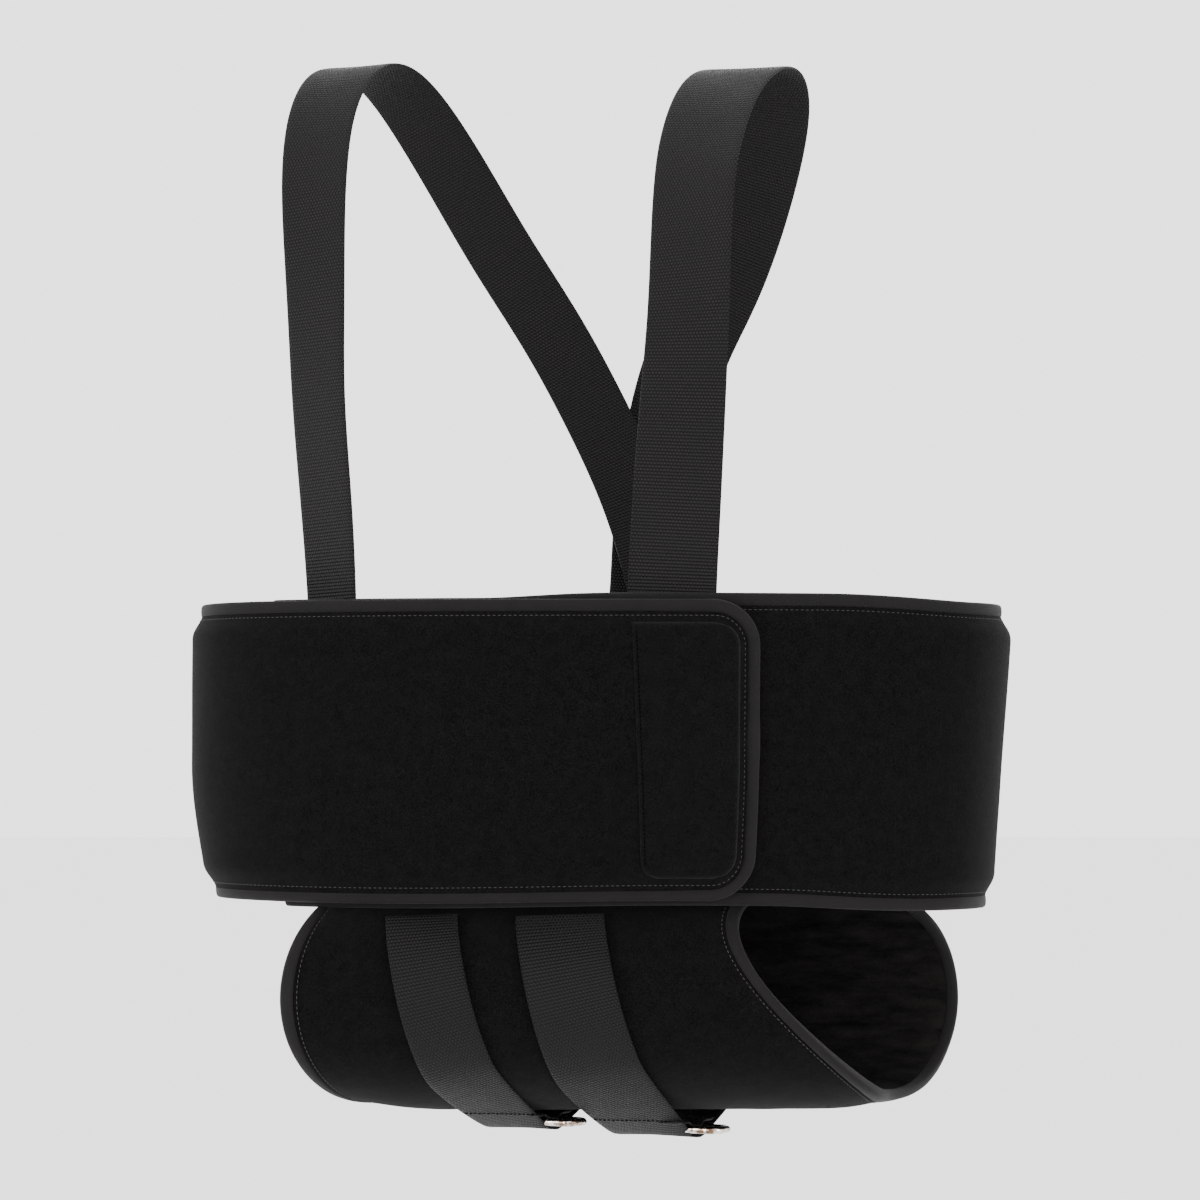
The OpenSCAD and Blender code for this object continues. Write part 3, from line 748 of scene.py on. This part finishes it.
def sewn_box(name, centre, along, across, out, length, width, body, lift):
    """A sewn rectangle with a cross in it."""
    corners = [centre + along * a * length / 2 + across * b * width / 2
               for a, b in ((-1, -1), (-1, 1), (1, 1), (1, -1), (-1, -1), (1, 1), (1, -1), (-1, 1))]
    for i in range(len(corners) - 1):
        a, b = corners[i] + out * lift, corners[i + 1] + out * lift
        path = a + np.linspace(0, 1, 20)[:, None] * (b - a)
        stitch_line(f"{name}_{i}", path, np.tile(out, (20, 1)), body, pitch=2.6, length=1.9, radius=0.26,
                    slot="webbing")


def strap(side, path, facing, width, hinge, direction, patch_top):
    """A shoulder strap from behind the belt's front to its rear end, which carries a sewn box and a hook
    patch.
    """
    body = f"strap_end_{side}"
    p = relaxed(through(path, STEPS), 60)
    f = relaxed(through(facing, STEPS), 60)
    piece = web_strip(f"shoulder_strap_{side}_web", p, f, width)
    hinge, direction = np.array(hinge), unit(np.array(direction, float))
    fold = ("belt", body, tuple((hinge - 4 * direction) * MM), tuple((hinge + 4 * direction) * MM))
    dress(piece, None, "webbing", f"shoulder_strap_{side}", body, across=fold)
    along, across, out = unit_frames(p, f)
    i = len(p) - 9
    sewn_box(f"strap_end_{side}_box", p[i], along[i], across[i], out[i], 24.0, width - 12, body,
             WEB_T / 2)
    rows = np.arange(len(p) - 40, len(p) - 1)
    rows = rows[p[rows, 2] < patch_top]
    under = p[rows] - out[rows] * (WEB_T + HOOK_T) / 2
    patch = web_strip(f"strap_end_{side}_hooks", under, out[rows], width - 4, thick=HOOK_T, material=HOOK)
    dress(patch, body, "hook", f"strap_end_hook_{side}")


# ---- Sleeve ----
def hand_rim(f):
    return -169 + 41 * (1 + np.cos(f))


def dip(f, at, k):
    return np.maximum(0, np.cos(f - math.radians(at))) ** k


def elbow_rim(f):
    wave = 144 + 55 * np.cos(f) - 25 * np.sin(f) + 3 * np.cos(2 * f) + 14 * np.sin(2 * f)
    return wave - 5.6 * dip(f, 15, 6) - 9 * dip(f, 272, 10)


HAND_NARROW, HAND_NARROW_L = 5.0, 45.0
# The elbow opening curls up a little at its lowest part
ELBOW_CURL, ELBOW_CURL_L = 5.5, 38.0


def sleeve_pt(f, x, r):
    """A point of the sleeve at angle f from the back, over the top, at radius r."""
    f, x, r = np.broadcast_arrays(f, x, r)
    narrow = HAND_NARROW * (1 - np.clip((x - hand_rim(f)) / HAND_NARROW_L, 0, 1)) ** 2
    curl = ELBOW_CURL * dip(f, 266, 9) * (1 - np.clip((elbow_rim(f) - x) / ELBOW_CURL_L, 0, 1)) ** 2
    q = r - narrow - curl
    return np.stack([x, SLEEVE_Y + q * np.cos(f), SLEEVE_Z + q * np.sin(f)], axis=-1)


SLEEVE_TURNS = np.linspace(0, 2 * np.pi, 168, endpoint=False)


def sleeve_layer(name, r_out, r_in, material, wrinkle, seed, slot, cad_node, fill):
    """One layer of the sleeve: an outer and an inner face between the rims, swept round."""
    count = 84
    u = ease(np.linspace(0, 1, count)) * 0.4 + np.linspace(0, 1, count) * 0.6
    rings = []
    for f in SLEEVE_TURNS:
        x0, x1 = hand_rim(f) + 3.0, elbow_rim(f) - 3.0
        x = x0 + u * (x1 - x0)
        edge = np.minimum(x - x0, x1 - x)
        full = ease(edge / 12)
        thick = (r_out - r_in) / 2
        mid = (r_out + r_in) / 2
        half = thick * (0.6 + 0.4 * full)
        at = sleeve_pt(f, x, mid)
        move = wrinkle(at, seed) * full
        outer, inner = sleeve_pt(f, x, mid + half + move), sleeve_pt(f, x, mid - half + move)
        rings.append(np.concatenate([outer, inner[::-1]]))
    piece = swept(name, rings, material, closed=True)
    return dress(piece, "sleeve", slot, cad_node, fill=fill)


def shell_wrinkle(at, seed):
    return 0.7 * lumps(at, 48.0, seed) + 0.25 * lumps(at, 17.0, seed + 5)


def lining_wrinkle(at, seed):
    squeezed = at * np.array([0.55, 1.0, 1.0])
    creases = 0.9 * np.abs(lumps(squeezed, 11.0, seed)) + 0.35 * lumps(at, 5.0, seed)
    return 0.7 * lumps(at, 48.0, 1.0) - creases


def rim_tape(name, rim, side, cad_node):
    """Binding round one rim; side is 1 where the cloth lies towards +X of it."""
    count = 180
    turns = np.linspace(0, 2 * np.pi, count, endpoint=False)
    mid = SLEEVE_R - 2.6
    rings = []
    for f in turns:
        u = 3.8 * power(np.cos(SECTION), 0.6)
        v = 3.2 * power(np.sin(SECTION), 0.75)
        rings.append(sleeve_pt(f, rim(f) + side * (3.6 + u), mid + v))
    rings = np.array(rings)
    around = np.concatenate([rings, rings[:, :1]], axis=1)
    tape = swept(name, rings, TAPE, closed=True, uv=ring_lengths(around)[:, :-1])
    dress(tape, "sleeve", "tape", cad_node)
    turns = np.linspace(0, 2 * np.pi, 400)
    line = sleeve_pt(turns, rim(turns) + side * 9.0, SLEEVE_R - 0.1)
    out = np.stack([np.zeros_like(turns), np.cos(turns), np.sin(turns)], axis=1)
    stitch_line(name + "_stitches", line, out, "sleeve")


def make_sleeve():
    sleeve_layer("sleeve_cover", SLEEVE_R, SLEEVE_R - SHELL_T, VELOUR, shell_wrinkle, 1.0, "velour",
                 "sleeve_shell", 0.4)
    inner = SLEEVE_R - SHELL_T - 0.3
    sleeve_layer("sleeve_plush", inner, inner - LINING_T, PLUSH, lining_wrinkle, 7.0, "plush",
                 "sleeve_lining", 0.3)
    rim_tape("elbow_tape", elbow_rim, -1, "elbow_binding")
    rim_tape("hand_tape", hand_rim, 1, "hand_binding")


# ---- Rings, sleeve straps and strap drops ----
TAIL_TOP = -41.0
TAIL_R = SLEEVE_R + 0.8 + WEB_T / 2
BAR_ROOM = WIRE_D / 2 + 0.3 + WEB_T / 2
RING_DIR = np.array([math.cos(RING_TURN), math.sin(RING_TURN), 0])
RING_BACK = np.array([-math.sin(RING_TURN), math.cos(RING_TURN), 0])
UP = np.array([0, 0, 1.0])


def on_sleeve(x, psi, r):
    t = math.radians(psi)
    return np.array([x, SLEEVE_Y - r * math.cos(t), SLEEVE_Z - r * math.sin(t)])


def off_sleeve(psi):
    t = math.radians(psi)
    return np.array([0, -math.cos(t), -math.sin(t)])


def tail_x(x, psi):
    return x - 13.7 - 45 * (1 - ((psi - TAIL_TOP) / (90 - TAIL_TOP)) ** 1.6)


def tail_lift(psi):
    return 1.6 * (1 - ease((psi + 5) / 30))


def bar_out(turn):
    t = math.radians(turn)
    return math.sin(t) * UP + math.cos(t) * RING_BACK


def bar_pt(ring, side, turn):
    return ring + WEB_SHIFT * RING_DIR + side * BAR_GAP / 2 * RING_BACK + BAR_ROOM * bar_out(turn)


# The last of these is the height of the painted shade line above the ring
SEWN_L, SEWN_GAP, SHADE_LINE_Z = 11.0, WEB_T + 0.1, 5.5


def fold(ring, side, length):
    """The webbing's way round a ring's front (-1) or rear (1) bar and back inside itself, and its facing."""
    start = 240 if side < 0 else 300
    turns = [start - side * 30 * i for i in range(7)]
    path = [bar_pt(ring, side, t) for t in turns[:6]]
    facing = [bar_out(t) for t in turns[:6]]
    out, away = bar_out(start), side * bar_out(start + 90)
    for l in np.linspace(2, length, 5):
        inside = SEWN_GAP + (2 * BAR_ROOM - SEWN_GAP) * (1 - ease(l / SEWN_L))
        path.append(bar_pt(ring, side, start) + l * away - inside * out)
        facing.append(-out)
    return path, facing


def sleeve_strap(side, ring, width):
    psis = np.arange(TAIL_TOP, 48, 5.5)
    path = [on_sleeve(tail_x(ring[0], p), p, TAIL_R + tail_lift(p)) for p in psis]
    facing = [off_sleeve(p) for p in psis]
    folded, folded_facing = fold(ring, -1, SEWN_L)
    p = through(path + folded, 5)
    f = through(facing + folded_facing, 5)
    bend = 5 * len(psis)
    p[bend - 25:bend + 6] = relaxed(p[bend - 25:bend + 6], 60)
    f[bend - 35:bend + 10] = relaxed(f[bend - 35:bend + 10], 200)
    p, f = relaxed(p, 6), relaxed(f, 6)
    body = f"sleeve_strap_{side}"
    # The sleeve strap takes the darker webbing copy, which paints shade
    piece = web_strip(f"sleeve_strap_{side}_web", p, f, width, material=SHADED_WEB)
    dress(piece, body, "webbing", body)
    _, across, out = unit_frames(p, f)
    fine = np.linspace(bend - 20, bend + 6, 500)
    at, over, up = (np.stack([np.interp(fine, np.arange(len(v)), v[:, k]) for k in range(3)], axis=1)
                    for v in (p, across, out))
    # A near-black painted shade line across the strap, where it turns under the sleeve and the shade falls,
    # drawn as short threads
    shade_line, shade_line_out = [], []
    for k in np.linspace(-0.5, 0.5, 24) * (width - 1):
        j = int(np.argmin(np.abs((at + k * over)[:, 2] - (ring[2] + SHADE_LINE_Z))))
        shade_line.append(at[j] + k * over[j] + up[j] * (WEB_T / 2 - 0.05))
        shade_line_out.append(up[j])
    stitch_line(f"sleeve_strap_{side}_seam", shade_line, shade_line_out, body, pitch=2.4, length=2.6, radius=0.4,
                slot="webbing", material=SHADE_LINE)
    psis = np.arange(TAIL_TOP + 6, 7, 4.0)
    lift = TAIL_R + 1.6 - (WEB_T + HOOK_T) / 2 - 0.1
    patch = web_strip(f"sleeve_strap_{side}_hooks",
                      np.array([on_sleeve(tail_x(ring[0], p), p, lift) for p in psis]),
                      np.array([off_sleeve(p) for p in psis]), width - 4, thick=HOOK_T, material=HOOK)
    dress(patch, body, "hook", f"sleeve_strap_hook_{side}")


def strap_drop(side, top, start_facing, ring, width):
    tx, ty, _ = top
    x = ring[0]
    path = [top, [tx + (x + 1.3 - tx) * 0.35, ty + 25, 8], [tx + (x + 13.3 - tx) * 0.72, ty * 0.2, -42]]
    facing = [start_facing, [-0.1, -0.8, -0.3], [0, -0.8, -0.5]]
    for f in (43, 25, 7, -11, -29, -47):
        t = math.radians(f)
        path.append([x + 25.3 - 7 * ((f + 8) / 42) ** 2, SLEEVE_Y + (TAIL_R + 0.9) * math.cos(t),
                     SLEEVE_Z + (TAIL_R + 0.9) * math.sin(t)])
        facing.append([0, -math.cos(t), -math.sin(t)])
    folded, folded_facing = fold(ring, 1, SEWN_L)
    path += folded
    facing += [-v for v in folded_facing]
    p, f = relaxed(through(path, 8), 8), relaxed(through(facing, 8), 8)
    # The drop takes the darker webbing copy, which paints shade
    piece = web_strip(f"strap_drop_{side}_web", p, f, width, material=SHADED_WEB)
    over = ("belt", "sleeve", (0, ty * MM, 0.06), (0, (ty + 12) * MM, 0.03))
    dress(piece, None, "webbing", f"strap_drop_{side}", across=over)


def make_webbing():
    strap("left", LEFT_PATH, LEFT_FACING, LEFT_W, (54, 131.2, 26), (0.29, 0, -0.95), 2)
    strap("right", RIGHT_PATH, RIGHT_FACING, RIGHT_W, (14, 136.6, 52), (-0.4, 0, -0.9), 8)
    sleeve_strap("left", LEFT_RING, LEFT_W)
    sleeve_strap("right", RIGHT_RING, RIGHT_W)
    strap_drop("left", [-142.6, -64.6, 58], [-0.6, -0.8, 0], LEFT_RING, LEFT_W)
    strap_drop("right", [37, -89, 58], [0, -1, 0], RIGHT_RING, RIGHT_W)


def finish_rings():
    for name in ("ring_left", "ring_right"):
        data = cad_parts[name].data
        data.materials.clear()
        data.materials.append(NICKEL)


# ---- Studio ----
CAMERA_DISTANCE, CAMERA_Z, AIM_Z, LENS = 2.2, -0.0047, 0.0833, 120.0


def make_studio():
    camera = bpy.data.objects.new("camera", bpy.data.cameras.new("camera"))
    camera.data.sensor_width = 36.0
    camera.data.lens = LENS
    camera.location = (-0.0008, -CAMERA_DISTANCE, CAMERA_Z)
    camera.rotation_euler = (math.pi / 2 + math.atan2(AIM_Z - CAMERA_Z, CAMERA_DISTANCE), 0, 0)
    bpy.context.scene.collection.objects.link(camera)
    bpy.context.scene.camera = camera

    bpy.ops.mesh.primitive_circle_add(vertices=96, radius=30, fill_type="NGON", location=(0, 0, -0.62))
    floor = bpy.context.object
    floor.name = "floor"
    floor.data.materials.append(new_material("pale_floor", (0.9, 0.9, 0.9), 0.9)[0])

    world = bpy.data.worlds.new("studio")
    world.use_nodes = True
    world.node_tree.nodes["Background"].inputs["Color"].default_value = (1, 1, 1, 1)
    world.node_tree.nodes["Background"].inputs["Strength"].default_value = 2.6
    bpy.context.scene.world = world

    def area(name, location, target, size, power_w):
        light = bpy.data.objects.new(name, bpy.data.lights.new(name, "AREA"))
        light.data.size = size
        light.data.energy = power_w
        light.location = location
        light.rotation_euler = (Vector(target) - Vector(location)).to_track_quat("-Z", "Y").to_euler()
        bpy.context.scene.collection.objects.link(light)
    area("left", (-2.3, -1.5, 0.4), (0, 0, 0.1), 1.3, 75)
    area("right", (2.3, -1.5, 0.2), (0, 0, 0.05), 1.3, 50)
    area("front", (-0.2, -2.8, 0.7), (0, 0, 0.15), 1.6, 20)
    area("back", (0.3, 2.6, 0.8), (0, 0, 0.05), 1.6, 40)


make_studio()
make_belt()
make_flap()
make_tab()
make_webbing()
make_sleeve()
finish_rings()
